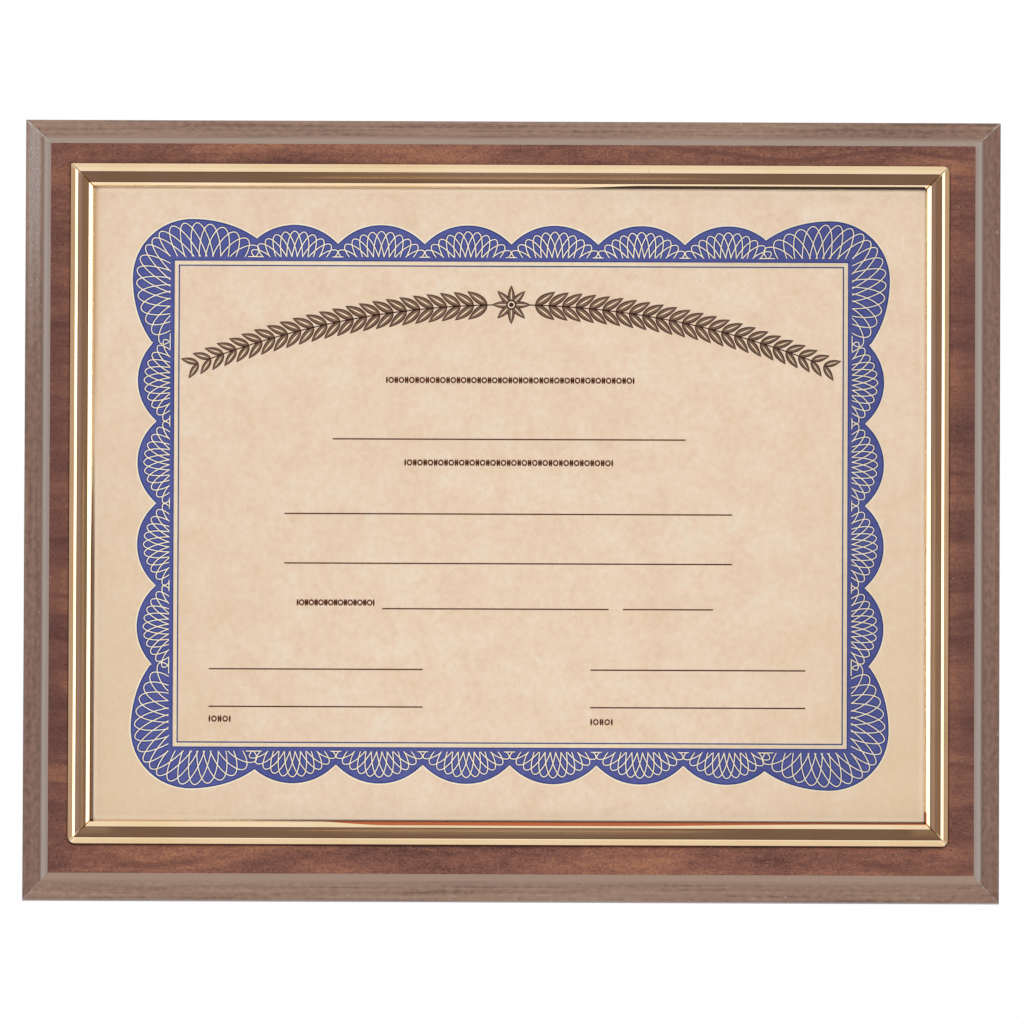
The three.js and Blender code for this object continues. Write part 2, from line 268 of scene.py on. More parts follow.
class Wire:
    """One output of a node. A sum written with it adds Math nodes to the same tree."""

    __add__ = __radd__ = joined_by("ADD")
    __sub__ = joined_by("SUBTRACT")
    __rsub__ = joined_by("SUBTRACT", swapped=True)
    __mul__ = joined_by("MULTIPLY")
    __pow__ = joined_by("POWER")

    def __init__(self, plan, socket):
        self.plan = plan
        self.socket = socket

    def __abs__(self):
        return self.plan.math("ABSOLUTE", self)

    def __neg__(self):
        return self * -1

    def out(self, name):
        """Another output of the same node."""
        return Wire(self.plan, self.socket.node.outputs[name])

    def range(self, start, end, low=0.0, high=1.0):
        """The value taken smoothly from start..end to low..high, and held there outside."""
        values = {"Value": self, "From Min": start, "From Max": end, "To Min": low, "To Max": high}
        return self.plan.node("ShaderNodeMapRange", values, interpolation_type="SMOOTHSTEP")

    def spread(self, low, high):
        """The common values of a noise, spread from low to high."""
        return self.range(0.3, 0.7, low, high)


class Plan:
    """A node tree, for a shader or for geometry, that is written as calls."""

    def __init__(self, tree):
        self.tree = tree

    def node(self, kind, inputs=None, **settings):
        """Adds a node: first its settings, then its inputs."""
        node = self.tree.nodes.new(kind)
        for name, value in settings.items():
            setattr(node, name, value)
        for name, value in (inputs or {}).items():
            self.feed(node.inputs[name], value)
        return Wire(self, node.outputs[0]) if node.outputs else node

    def feed(self, socket, value):
        if isinstance(value, Wire):
            self.tree.links.new(value.socket, socket)
        else:
            socket.default_value = value

    def math(self, operation, first, second=0):
        return self.node("ShaderNodeMath", {0: first, 1: second}, operation=operation)

    def place(self, scale=1, kind="Object"):
        """Stretched coordinates: the piece's own, or of kind UV along and across a strip."""
        own = self.node("ShaderNodeTexCoord").out(kind)
        scale = scale if isinstance(scale, tuple) else (scale, scale, scale)
        return self.node("ShaderNodeMapping", {"Vector": own, "Scale": scale})

    def axes(self, kind="Object"):
        """The coordinates x, y and z in metres."""
        own = self.node("ShaderNodeSeparateXYZ", {0: self.place(1, kind)})
        return own.out("X"), own.out("Y"), own.out("Z")

    def noise(self, vector, scale=1.0, detail=3.0, roughness=0.55, distortion=0.0):
        values = {"Vector": vector, "Scale": scale, "Detail": detail}
        values.update({"Roughness": roughness, "Distortion": distortion})
        return self.node("ShaderNodeTexNoise", values)

    def grain(self, scale, *shape, kind="Object"):
        """Noise of so many grains a metre. The shape is its detail, roughness and distortion."""
        return self.noise(self.place(scale, kind), 1.0, *shape)

    def specks(self, vector, radius, ragged):
        """1 on stray ragged specks, one in every second unit of the vector."""
        cells = self.node("ShaderNodeTexVoronoi", {"Vector": vector, "Scale": 1}, voronoi_dimensions="2D")
        chance = self.node("ShaderNodeSeparateColor", {0: cells.out("Color")})
        far = cells.out("Distance") + self.noise(vector, 14.0, 2.0) * ragged
        far = far + chance.out("Green") * radius + chance.out("Red").range(0.5, 0.55)
        return far.range(radius * 1.4 + ragged / 2, radius * 0.6 + ragged / 2)

    def ramp(self, value, *stops):
        """A colour ramp, from stops that are each a place and an 8-bit colour."""
        made = self.node("ShaderNodeValToRGB", {"Fac": value})
        elements = made.socket.node.color_ramp.elements
        while len(elements) < len(stops):
            elements.new(0.5)
        for element, (place, *shade) in zip(elements, stops):
            element.position = place
            element.color = srgb(*shade)
        return made

    def mix(self, factor, first, second):
        """A colour mix: all first at 0, all second at 1."""
        return self.node("ShaderNodeMix", {0: factor, 6: first, 7: second}, data_type="RGBA").out(2)

    def tinted(self, colour, *tints):
        """A colour with 8-bit shades over it in turn, each where its mask is 1."""
        for mask, *shade in tints:
            colour = self.mix(mask, colour, srgb(*shade))
        return colour

    def bump(self, height, strength, distance):
        return self.node("ShaderNodeBump", {"Height": height, "Strength": strength, "Distance": distance})


def finish(name, paint, constants):
    """A material. paint(plan) returns the inputs that change over the surface."""
    material = bpy.data.materials.new(name)
    material.use_nodes = True
    plan = Plan(material.node_tree)
    shader = material.node_tree.nodes["Principled BSDF"]
    for socket, value in {**constants, **paint(plan)}.items():
        plan.feed(shader.inputs[socket], value)
    return material


# Below, x.range(a, b) comes in from a to b. These are places in metres, or values of a noise.
def surface(colour, roughness, normal):
    return {"Base Color": colour, "Roughness": roughness, "Normal": normal}


def walnut_figure(plan):
    """Soft clouds, wandering growth lines and fine pores of walnut, with its grain along x."""
    wander = plan.grain((7, 1, 21), 2.0)
    cloud = plan.grain((14, 1, 60), 4.0, 0.6, 0.5)
    rings = plan.math("SINE", plan.axes()[2] * 760 + wander * 30)
    lines = rings.range(0.6, 1.0) * wander.range(0.4, 0.55)
    pores = plan.grain((196, 1, 1320), 2.0)
    return cloud, lines, pores.range(0.6, 0.72)


def about_box(plan, box):
    """x and z from a box's centre, and half its width and height, all in metres."""
    low, high = box
    centre, half = (low + high) / 2 * MM, (high - low) / 2 * MM
    x, _, z = plan.axes()
    return x - centre.x, z - centre.z, half.x, half.z


def distance_outside(plan, box, rounding):
    """How far a point of the face lies outside a box, rounded but at its top left corner."""
    x, z, half_width, half_height = about_box(plan, box)
    radius = (z - x).range(0.2, 0.21, rounding * MM, rounding * 0.05 * MM)
    across = plan.math("MAXIMUM", abs(x) - half_width + radius, 0)
    upright = plan.math("MAXIMUM", abs(z) - half_height + radius, 0)
    return (across ** 2 + upright ** 2) ** 0.5 - radius


def within_frame(plan, inset, soft):
    """1 where a point lies further in than an inset from the rails' outer edge, in millimetres."""
    x, z, half_width, half_height = about_box(plan, rails_box())
    inset, soft = inset * MM, soft * MM
    across = abs(x).range(half_width - inset, half_width - inset - soft)
    upright = abs(z).range(half_height - inset, half_height - inset - soft)
    return across * upright


def paint_face_laminate(plan):
    """Walnut print: clouds and growth lines along x, fine blotches, pores and stray specks, with painted
    shade at the left and right ends and a painted contact shadow round the rails.
    """
    cloud, lines, pores = walnut_figure(plan)
    blotch = plan.grain((260, 1, 700), 3.0, 0.6)
    fine = plan.grain((1100, 1, 1900), 2.0, 0.6)
    wood = plan.ramp(
        cloud * 0.45 + blotch * 0.2 + fine * 0.35,
        (0.4, 82, 50, 45),
        (0.465, 115, 74, 62),
        (0.525, 134, 88, 72),
        (0.595, 162, 110, 80),
    )
    x, _, z = plan.axes()
    # Painted shade: darker towards the left and right ends, most at mid height.
    ends = abs(x).range(0.142, 0.151) * (0.3 + abs(z).range(0.11, 0.07) * 0.22)
    flat = plan.node("ShaderNodeCombineXYZ", {"X": x * 110, "Y": z * 130})
    # Painted contact shadow: a thin dark line on the face round the rails' outer edge.
    outside = distance_outside(plan, rails_box(), ROUNDED_CORNER)
    painted_contact_shadow = (outside + blotch * 0.0002).range(0.0006, 0.0002) * (1 - within_frame(plan, 8, 1))
    wood = plan.tinted(
        wood,
        (ends, 82, 52, 50),
        (lines * 0.42, 80, 46, 42),
        (pores * 0.3, 84, 46, 40),
        (plan.specks(flat, 0.03, 0.12) * 0.3, 188, 172, 158),
        (painted_contact_shadow * 0.9, 44, 28, 28),
    )
    sheen = plan.grain((40, 1, 260))
    return surface(wood, sheen.spread(0.33, 0.42), plan.bump(pores, 0.15, 0.00004))


def foil_painted_shade(plan, uprights, top, right, upper_left):
    """How much painted shade the foil gets: more on the uprights, but for the upper left, than above and
    below.
    """
    x, _, z = plan.axes()
    levels = 1 - uprights
    upright_tone = uprights * (0.6 - upper_left * 0.45 + z.range(0, -0.06) * 0.12 + right * 0.08)
    bottom_tone = levels * (1 - top) * (0.06 + abs(x).range(0.03, 0.11) * 0.16)
    return upright_tone + bottom_tone + top * (0.1 + levels * x.range(0.05, 0.14) * 0.3)


def paint_edge_foil(plan):
    """Printed foil with streaks along the side, pale along the mitres and scuffed at the left, with
    painted shade by side and in the cove and a painted sheen on the step.
    """
    streak = plan.grain((14, 700, 1), 4.0, 0.6, kind="UV")
    mottle = plan.grain((420, 620, 1), kind="UV")
    cloud = plan.grain((9, 90, 1), 2.0, kind="UV")
    wood = plan.ramp(
        streak * 0.45 + mottle * 0.25 + cloud * 0.3,
        (0.4, 118, 92, 79),
        (0.47, 145, 117, 102),
        (0.54, 154, 126, 109),
        (0.62, 170, 144, 126),
    )
    x, _, z = plan.axes()
    top, right = z.range(0, 0.001), x.range(0, 0.001)
    uprights = (abs(x) - abs(z)).range((UPRIGHTS_FROM - 0.1) * MM, (UPRIGHTS_FROM + 0.1) * MM)
    upper_left = (1 - right) * z.range(0.03, 0.11)
    # Painted shade: a darker copy of the foil, laid on more on the uprights and less at the upper left.
    shaded_foil_wood = plan.mix(mottle.range(0.35, 0.65), srgb(100, 72, 61), srgb(124, 94, 81))
    wood = plan.mix(foil_painted_shade(plan, uprights, top, right, upper_left), wood, shaded_foil_wood)
    across = plan.axes("UV")[1]
    seam = across + mottle * 0.0006
    # Painted shade in the cove just past the foot of the step, on the uprights.
    foot = seam.range(0.0064, 0.0042) * seam.range(0.0036, 0.0042)
    wood = plan.tinted(wood, (foot * uprights * 0.35, 92, 68, 60))
    # Painted sheen: the steep step by the face is painted paler, for its reflection of the bright room.
    level_step_sheen = plan.mix(top, srgb(170, 142, 125), srgb(171, 150, 135))
    upright_step_sheen = plan.mix(across.range(0.0012, 0.0026), srgb(170, 152, 143), srgb(176, 164, 156))
    crisp = uprights * 0.0006
    step_sheen = seam.range(0.0058 - crisp, 0.003 + crisp)
    wood = plan.mix(step_sheen, wood, plan.mix(uprights, level_step_sheen, upright_step_sheen))
    nose = across.range(0.0052, 0.0062) * across.range(0.0106, 0.0096)
    rubbed = uprights * upper_left * nose
    scuffs = plan.grain((2600, 1, 1300), 2.0, 0.6).range(0.5, 0.72)
    # Paler along the mitres, more towards the top.
    from_end = plan.node("ShaderNodeAttribute", attribute_name="from_end").out("Fac")
    pale_at_mitres = (from_end + plan.grain(900) * 0.0008).range(0.00068, 0.00036)
    wood = plan.tinted(
        wood,
        (plan.specks(plan.place((90, 110, 1), "UV"), 0.035, 0.12) * 0.4, 188, 182, 174),
        (rubbed * cloud.range(0.3, 0.6) * 0.4, 160, 156, 154),
        (rubbed * scuffs * 0.6, 188, 192, 198),
        (pale_at_mitres * z.range(-0.06, 0.06, 0.4, 1) * 0.85, 214, 210, 204),
    )
    return surface(wood, mottle.spread(0.36, 0.46), plan.bump(streak, 0.1, 0.00003))


def lip_painted_shade_and_reflection(plan, metal, ragged):
    """Painted shade and reflection along parts of the lips: a black shadow at the top, maroon shade at
    the left, an orange reflection and dark shade below.
    """
    low, high = rails_box()
    edge = Vector((LIP_FRONT[0], 0, LIP_FRONT[0]))
    outside = distance_outside(plan, (low + edge, high - edge), 0) + ragged * 0.0002
    x, y, z = plan.axes()
    front = -face_height * MM
    raised = y.range(front - 0.0024, front - 0.0026)
    # Painted shadow at the top right, painted shade at the lower left, and painted reflection and shade
    # at the bottom.
    top = z.range(0.1, 0.101) * x.range(0.012, 0.045) * x.range(0.1372, 0.1366)
    left = x.range(-0.138, -0.1385) * z.range(0.03, -0.02)
    bottom = z.range(-0.1, -0.101)
    orange_reflection_reach = bottom * x.range(-0.075, -0.04) * (0.001 + x.range(0.11, 0.03) * 0.0008)
    dark = bottom * x.range(-0.11, -0.06)

    def rim(reach):
        """1 on the lip's outermost strip, as wide as a reach in metres."""
        return (outside - reach).range(0.0001, -0.0001) * raised

    return plan.tinted(
        metal,
        (rim(orange_reflection_reach) * 0.9, 172, 74, 30),
        (rim(dark * 0.0005) * 0.9, 50, 26, 30),
        (rim(top * 0.001) * 0.93, 30, 14, 12),
        (rim(left * 0.0009) * 0.85, 84, 34, 26),
    )


def paint_gold(plan):
    """Polished anodised metal with faint draw lines, rubbed duller along parts of the crest, and painted
    shade and reflection along parts of the lips.
    """
    lines = plan.grain((1.5, 5200, 1), 2.0, kind="UV")
    x, y, z = plan.axes()
    crest = -(face_height + CREST_HEIGHT) * MM
    on_crest = y.range(crest + 0.00018, crest + 0.00006)
    low_sides = abs(x).range(0.13, 0.135) * z.range(0.02, -0.02)
    rubbed = on_crest * (abs(x).range(0.09, 0.03) + low_sides)
    tarnish = plan.grain(26)
    metal = plan.mix(tarnish.range(0.4, 0.75), srgb(235, 207, 168), srgb(228, 198, 154))
    metal = plan.tinted(metal, (plan.grain(1300, 1.0).range(0.75, 0.79) * 0.6, 176, 140, 92))
    roughness = lines.spread(0.045, 0.09) + rubbed * (0.1 + lines * 0.2)
    return surface(lip_painted_shade_and_reflection(plan, metal, tarnish), roughness, plan.bump(lines, 0.05, 0.00001))


def paint_parchment(plan):
    """Cream parchment: fine mottling and a few flecks, with painted shade towards its bottom corners, and
    painted light, reflection and shadow along the polished lips round it."""
    cloud = plan.grain(75, 5.0, 0.7, 0.4)
    fibre = plan.grain((520, 520, 1900), 2.0)
    paper = plan.ramp(
        cloud * 0.55 + plan.grain(420, 3.0, 0.65) * 0.45,
        (0.36, 233, 206, 176),
        (0.5, 239, 214, 188),
        (0.64, 242, 224, 203),
    )
    x, _, z = plan.axes()
    # Painted shade: yellower and darker towards the bottom corners.
    shaded_low_corners = abs(x).range(0.06, 0.14) * z.range(0.08, -0.1)
    # Painted light: paler within a few millimetres of the lips, against their shade.
    painted_lip_light = 1 - within_frame(plan, 8.5, 1.8)
    # Painted reflection of the gold lip: a tan band along the paper's upper left edge.
    painted_lip_reflection = x.range(-0.1366, -0.1388) * z.range(0, 0.06)
    # Painted shadow: a dark maroon line where the paper meets the left lip low down and the bottom lip at
    # the left.
    painted_left_lip_shadow = x.range(-0.1382, -0.1386) * z.range(0.03, -0.02)
    painted_bottom_lip_shadow = z.range(-0.1035, -0.1038) * x.range(-0.11, -0.06)
    paper = plan.tinted(
        paper,
        (shaded_low_corners * 0.6, 230, 202, 166),
        (painted_lip_light * 0.8, 253, 229, 201),
        (painted_lip_reflection * 0.6, 206, 160, 108),
        (plan.math("MAXIMUM", painted_left_lip_shadow, painted_bottom_lip_shadow) * 0.8, 84, 44, 38),
        (plan.grain(700, 1.0).range(0.77, 0.81) * 0.5, 196, 160, 118),
    )
    return surface(paper, fibre.spread(0.78, 0.9), plan.bump(fibre, 0.1, 0.00003))


def paint_ink(plan, dark, light):
    """Ink that lies a little unevenly on the paper, with painted shade towards the right."""
    cover, pool = plan.grain(420), plan.grain(30, 2.0)
    colour = plan.mix((cover * 0.6 + pool * 0.4).range(0.35, 0.65), srgb(*dark), srgb(*light))
    # Painted shade: darker towards the right.
    shaded = plan.tinted(colour, (plan.axes()[0].range(0.03, 0.11) * 0.13, 0, 0, 0))
    return {"Base Color": shaded, "Roughness": cover.spread(0.62, 0.74)}


def paint_clear(plan):
    return {"Roughness": plan.grain(38).range(0.35, 0.7, 0.02, 0.05)}


def paint_core(plan):
    """Pressed wood fibre."""
    fibre = plan.grain((900, 1900, 900), 4.0, 0.7)
    colour = plan.ramp(fibre, (0.32, 96, 70, 48), (0.52, 128, 98, 70), (0.72, 160, 130, 98))
    return surface(colour, 0.92, plan.bump(fibre, 0.6, 0.0002))


def paint_back_laminate(plan):
    """Plain dark brown backing, faintly mottled and scuffed."""
    fine, cloud = plan.grain(420), plan.grain((22, 22, 60), 4.0, 0.6)
    field = fine * 0.5 + cloud * 0.5
    brown = plan.ramp(field, (0.35, 70, 48, 38), (0.5, 84, 60, 48), (0.68, 98, 72, 58))
    scuff = plan.grain((60, 60, 700), 2.0, 0.5, 1.5)
    scuffed = plan.tinted(brown, (scuff.range(0.7, 0.78) * 0.35, 128, 104, 88))
    return surface(scuffed, cloud.spread(0.5, 0.66), plan.bump(fine, 0.3, 0.00008))


def paint_steel(plan):
    """Bright zinc plate."""
    fine, cloud = plan.grain(900), plan.grain(160, 2.0)
    colour = plan.mix(cloud.range(0.35, 0.7), srgb(186, 188, 186), srgb(206, 204, 196))
    return surface(colour, fine.spread(0.26, 0.4), plan.bump(fine, 0.12, 0.00002))


def paint_floor(plan):
    cloud = plan.grain(3)
    colour = plan.mix(cloud, srgb(236, 235, 233), srgb(242, 241, 239))
    return {"Base Color": colour, "Roughness": cloud.spread(0.6, 0.7)}


def make_finishes():
    """Every material by its name."""
    kinds = {
        "pale_floor": (paint_floor, {}),
        "face_laminate": (paint_face_laminate, {}),
        "edge_foil": (paint_edge_foil, {"Specular IOR Level": 0.25}),
        "gold_rail": (paint_gold, {"Metallic": 1.0}),
        "parchment": (paint_parchment, MATT),
        "clear_cover": (paint_clear, {"Transmission Weight": 1.0, "IOR": 1.49, "Alpha": 0.15}),
        "wood_fibre": (paint_core, {}),
        "back_laminate": (paint_back_laminate, {}),
        "zinc_steel": (paint_steel, {"Metallic": 1.0}),
    }
    for name, shades in INKS.items():
        kinds[name] = (lambda plan, shades=shades: paint_ink(plan, *shades), MATT)
    return {name: finish(name, *kind) for name, kind in kinds.items()}


def point(x, y):
    return Vector((x, y))


def bend(start, control, end, steps):
    """Points along a quadratic curve, with both its ends."""
    start, control, end = point(*start), point(*control), point(*end)
    shares = [i / steps for i in range(steps + 1)]
    return [start.lerp(control, s).lerp(control.lerp(end, s), s) for s in shares]


def span(nodes):
    """The box round some nodes, in millimetres."""
    boxes = [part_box(node) for node in nodes]
    low = Vector(min(box[0][i] for box in boxes) for i in range(3))
    high = Vector(max(box[1][i] for box in boxes) for i in range(3))
    return low / MM, high / MM


def linked(name, data):
    """A new object in the scene."""
    made = bpy.data.objects.new(name, data)
    bpy.context.scene.collection.objects.link(made)
    return made


def piece(name, mesh, look, sharp=30):
    """A shown object round a mesh, smooth but for the edges sharper than an angle in degrees."""
    mesh.name = name
    mesh.materials.clear()
    mesh.materials.append(finishes[look])
    mesh.polygons.foreach_set("use_smooth", [True] * len(mesh.polygons))
    mesh.set_sharp_from_angle(angle=math.radians(sharp))
    return linked(name, mesh)


def solid_mesh(points, faces):
    """A closed mesh in metres from points in millimetres, its faces turned outwards."""
    mesh = bpy.data.meshes.new("solid")
    mesh.from_pydata([Vector(p) * MM for p in points], [], faces)
    work = bmesh.new()
    work.from_mesh(mesh)
    bmesh.ops.recalc_face_normals(work, faces=work.faces)
    work.to_mesh(mesh)
    work.free()
    return mesh


def band(start, size, jump):
    """The faces between a ring of points and the one whose numbers are a jump higher."""
    ring = range(start, start + size)
    return [(a, b, b + jump, a + jump) for a, b in zip(ring, [*ring[1:], start])]


def caps(outlines, jump):
    """The faces that fill the first of two like ends, and the second, a jump higher."""
    flat = [tuple(face) for face in tessellate_polygon([[p.to_3d() for p in line] for line in outlines])]
    return flat + [tuple(i + jump for i in reversed(face)) for face in flat]


def turned(spot, quarter_turns, centre, base):
    """A point of the bottom side, as along, across and height, turned to another side."""
    x, z = spot.x, spot.y
    for _ in range(quarter_turns):
        x, z = -z, x
    return Vector((centre.x + x, base - spot.z, centre.z + z))


def side_mesh(section, side, box, gap, base, stations, burr=0):
    """One mitred side of the rectangle that a box has seen from the front.

    The section is closed, as insets and heights. The stations are distances from each end at which
    it is repeated. The burr is how far the front is pressed down at the very ends. Each point also
    gets its place along and across the side and its distance from the nearer end."""
    low, high = box
    centre, half = (low + high) / 2, (high - low) / 2
    half_length, distance = (half.x, half.z) if side % 2 == 0 else (half.z, half.x)
    section = [point(*spot) for spot in section]
    travelled = [0.0]
    for a, b in zip(section, section[1:]):
        travelled.append(travelled[-1] + (b - a).length)
    rings = [(-1, d) for d in stations] + [(1, d) for d in reversed(stations)]
    points, places, from_ends = [], [], []
    for sign, from_end in rings:
        for (inset, height), across in zip(section, travelled):
            along = sign * (half_length - inset - gap / 2 - from_end)
            pressed = burr if from_end == 0 and height > LIP_UNDERSIDE else 0
            spot = Vector((along, inset - distance, height - pressed))
            points.append(turned(spot, side, centre, base))
            places.append((along * MM + side * STRIP_STEP, across * MM))
            from_ends.append(from_end * MM)
    count, last = len(section), len(rings) - 1
    faces = [face for ring in range(last) for face in band(ring * count, count, count)]
    mesh = solid_mesh(points, faces + caps([section], last * count))
    add_strip_map(mesh, places, from_ends)
    return mesh


def add_strip_map(mesh, places, from_ends):
    """Writes the places as the UV map of a strip, and the distances from its nearer end."""
    layer = mesh.uv_layers.new(name="strip")
    for loop in mesh.loops:
        layer.data[loop.index].uv = places[loop.vertex_index]
    layer = mesh.attributes.new("from_end", "FLOAT", "POINT")
    layer.data.foreach_set("value", from_ends)


def foil_section():
    """The thin foil over the routed edge, as insets and heights above the back."""
    slope = (STEP_TOP_INSET - STEP_FOOT[0]) / STEP_FOOT[1]
    top = point(STEP_TOP_INSET - slope * LAMINATE_STACK, LAMINATE_STACK)
    cove = bend(STEP_FOOT, COVE_CONTROL, COVE_END, COVE_STEPS)
    nose = bend(COVE_END, ROUND_CONTROL, (0, ROUND_END_DROP), ROUND_STEPS)
    outside = [top, *cove, *nose[1:], point(0, face_height)]
    inside = moved_aside(outside, FOIL_THICKNESS)
    inside[0] = point(inside[1].x + slope * (STEP_FOOT[1] - LAMINATE_STACK), LAMINATE_STACK)
    inside[-1] = point(FOIL_THICKNESS, face_height)
    lap = [point(STEP_TOP_INSET - FOIL_LAP, 0), top - point(FOIL_LAP, 0)]
    return [point(p.x, face_height - p.y) for p in [*lap, *outside[1:], *inside[::-1], top]]


def moved_aside(line, distance, closed=False):
    """Points moved to the right of the way from the point before to the point after."""
    first, last = (line[-1:], line[:1]) if closed else (line[:1], line[-1:])
    moved = []
    for before, spot, after in zip(first + line[:-1], line, line[1:] + last):
        way = (after - before).normalized()
        moved.append(spot + point(way.y, -way.x) * distance)
    return moved


def make_edge_foils():
    box = span([f"edge_foil_{name}" for name in SIDES])
    for side, name in enumerate(SIDES):
        mesh = side_mesh(foil_section(), side, box, FOIL_MITRE_GAP, 0, FOIL_STATIONS)
        foil = piece(f"edge_foil_{name}_wrap", mesh, "edge_foil", FOIL_SHARP_ANGLE)
        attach(foil, "plaque")
        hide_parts(f"edge_foil_{name}")


def crest_point(inset):
    """A point of the crest's arc."""
    drop = CREST_RADIUS - math.sqrt(CREST_RADIUS ** 2 - (inset - CREST_INSET) ** 2)
    return point(inset, CREST_HEIGHT - drop)


def rail_front():
    """The part of a rail's section that shows, from its outer foot over the crest to the lip."""
    shoulder_end = crest_point(SHOULDER_END_INSET)
    shoulder_start = point(SHOULDER_ROUND, shoulder_end.y - SHOULDER_END_INSET + SHOULDER_ROUND)
    foot_corner = point(0, shoulder_start.y - SHOULDER_ROUND)
    reach = CREST_END_INSET - SHOULDER_END_INSET
    return [
        *bend((0, foot_corner.y - SHOULDER_ROUND), foot_corner, shoulder_start, SHOULDER_STEPS),
        *(crest_point(SHOULDER_END_INSET + reach * i / CREST_STEPS) for i in range(CREST_STEPS)),
        *bend(crest_point(CREST_END_INSET), LIP_CORNER, LIP_FRONT, LIP_STEPS),
    ]


def rail_section(is_open):
    """The open rail has no flange and stands clear of the board, so that the sheets pass under it."""
    foot = LIP_UNDERSIDE if is_open else 0
    channel = [(CHANNEL_FLOOR_INSET, LIP_UNDERSIDE), (CHANNEL_FLOOR_INSET, FLANGE_THICKNESS)]
    flange = [(FLANGE_EDGE, FLANGE_THICKNESS), (FLANGE_EDGE, 0)]
    web = [(WEB_INSET, foot), (WEB_INSET, KEY_CAVITY_TOP)]
    wall = [(OUTER_WALL, KEY_CAVITY_TOP), (OUTER_WALL, foot)]
    inner = web + wall if is_open else channel + flange + web + wall
    return [(0, foot), *rail_front(), (LIP_FRONT[0], LIP_UNDERSIDE), *inner]


def inwards_from(corner):
    """The way from a corner, seen from the front, to inside, as far along as across."""
    return point(-math.copysign(1, corner.x), -math.copysign(1, corner.y))


def rounded_tip(spot, corner, radius):
    """Draws a point near a corner in to the arc that rounds it."""
    inwards = inwards_from(corner)
    middle = corner + inwards * radius
    out = spot - middle
    if out.x * inwards.x < 0 and out.y * inwards.y < 0 and out.length > radius:
        return middle + out.normalized() * radius
    return spot


def clipped_tip(spot, corner, reach):
    """Draws a point near a corner in to the straight cut across it."""
    inwards = inwards_from(corner).normalized()
    shortfall = reach / math.sqrt(2) - (spot - corner).dot(inwards)
    return spot + inwards * shortfall if shortfall > 0 else spot


def soften_corners(mesh, box):
    """Rounds the rails' top right and bottom left corners and clips the bottom right one."""
    low, high = box
    for vertex in mesh.vertices:
        spot = point(vertex.co.x, vertex.co.z) / MM
        spot = rounded_tip(spot, point(high.x, high.z), ROUNDED_CORNER)
        spot = rounded_tip(spot, point(low.x, low.z), ROUNDED_CORNER)
        spot = clipped_tip(spot, point(high.x, low.z), CLIPPED_CORNER)
        vertex.co.x, vertex.co.z = spot * MM


def countersink_cutter(screw):
    """The hole of one rail screw, widest at the front."""
    low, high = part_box(screw)
    centre = (low + high) / 2 / MM
    profile = (
        (HOLE_HEAD_RADIUS, HOLE_HEAD_HEIGHT + OVERCUT),
        (HOLE_HEAD_RADIUS, HOLE_HEAD_HEIGHT),
        (HOLE_SHANK_RADIUS, HOLE_NECK_HEIGHT),
        (HOLE_SHANK_RADIUS, -OVERCUT),
    )
    points = []
    for radius, height in profile:
        for i in range(HOLE_SIDES):
            turn = math.tau * i / HOLE_SIDES
            x, z = centre.x + radius * math.cos(turn), centre.z + radius * math.sin(turn)
            points.append((x, -face_height - height, z))
    last = len(profile) - 1
    faces = [tuple(range(start, start + HOLE_SIDES)) for start in (0, last * HOLE_SIDES)]
    for ring in range(last):
        faces += band(ring * HOLE_SIDES, HOLE_SIDES, HOLE_SIDES)
    return solid_mesh(points, faces)


def drill(mesh, screws):
    """Cuts the screws' countersunk holes through a rail's mesh."""
    rail = linked("rail_blank", mesh)
    cutters = [linked("cutter", countersink_cutter(screw)) for screw in screws]
    for cutter in cutters:
        hole = rail.modifiers.new("hole", "BOOLEAN")
        hole.operation = "DIFFERENCE"
        hole.object = cutter
    drilled = evaluated_mesh(rail)
    for spare in [rail, *cutters]:
        bpy.data.objects.remove(spare)
    return drilled


def evaluated_mesh(source):
    """The mesh of an object with its modifiers applied."""
    graph = bpy.context.evaluated_depsgraph_get()
    return bpy.data.meshes.new_from_object(source.evaluated_get(graph), depsgraph=graph)


def rails_box():
    """The box round all four rails, which shows from the front. Flanges reach inwards only."""
    return span([f"rail_{name}" for name in SIDES])


def make_rails():
    box = rails_box()
    for side, name in enumerate(SIDES):
        screws = sorted(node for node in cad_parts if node.startswith(f"rail_screw_{name}"))
        reach, drop = UPRIGHT_RAIL_BURR if side % 2 else LEVEL_RAIL_BURR
        stations = (0, reach, *RAIL_STATIONS)
        section = rail_section(is_open=not screws)
        mesh = side_mesh(section, side, box, RAIL_MITRE_GAP, -face_height, stations, drop)
        soften_corners(mesh, box)
        if screws:
            mesh = drill(mesh, screws)
        rail = piece(f"rail_{name}_moulding", mesh, "gold_rail", RAIL_SHARP_ANGLE)
        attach(rail, "plaque")
        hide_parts(f"rail_{name}")


def new_tree(name):
    """An empty Geometry Nodes tree, and the seed that it is given."""
    tree = bpy.data.node_groups.new(name, "GeometryNodeTree")
    for way in ("INPUT", "OUTPUT"):
        tree.interface.new_socket(name="Geometry", in_out=way, socket_type="NodeSocketGeometry")
    plan = Plan(tree)
    return plan, plan.node("NodeGroupInput")


def end_tree(plan, shape):
    """Ends a tree with plain geometry."""
    plan.node("NodeGroupOutput", {0: plan.node("GeometryNodeRealizeInstances", {0: shape})})
    return plan.tree


def swept(plan, curve, width):
    """A flat band of ink along a curve that lies in the x y plane."""
    level = plan.node("GeometryNodeSetCurveNormal", {"Curve": curve}, mode="Z_UP")
    sizes = {"Width": width, "Height": INK_THICKNESS}
    section = plan.node("GeometryNodeCurvePrimitiveQuadrilateral", sizes)
    values = {"Curve": level, "Profile Curve": section, "Fill Caps": True}
    return plan.node("GeometryNodeCurveToMesh", values)


